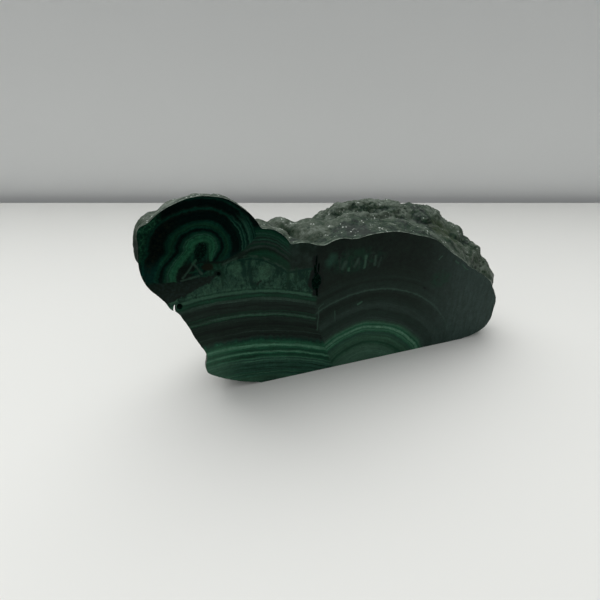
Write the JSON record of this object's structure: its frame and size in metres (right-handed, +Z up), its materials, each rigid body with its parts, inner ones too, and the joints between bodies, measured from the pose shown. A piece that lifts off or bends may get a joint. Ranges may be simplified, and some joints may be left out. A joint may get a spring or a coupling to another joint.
{
  "type": "malachite slab",
  "caption": "Malachite nodule sawn once and polished on the cut, with banded green rings and a botryoidal skin behind, standing on a flat sawn foot.",
  "frame": {"origin": "bottom centre of the bounding box, on the surface that the slab stands on", "axes": "+X along the cut face's foot edge, from the knob's end to the low end; +Y into the stone, away from the polished face; +Z up"},
  "size_m": [0.1678, 0.0526, 0.0852],
  "materials": {
    "malachite": "polished banded cut face; rough, dusty grey-green botryoidal skin elsewhere"
  },
  "bodies": {
    "root": {"malachite_slab": "malachite"}
  },
  "joints": []
}
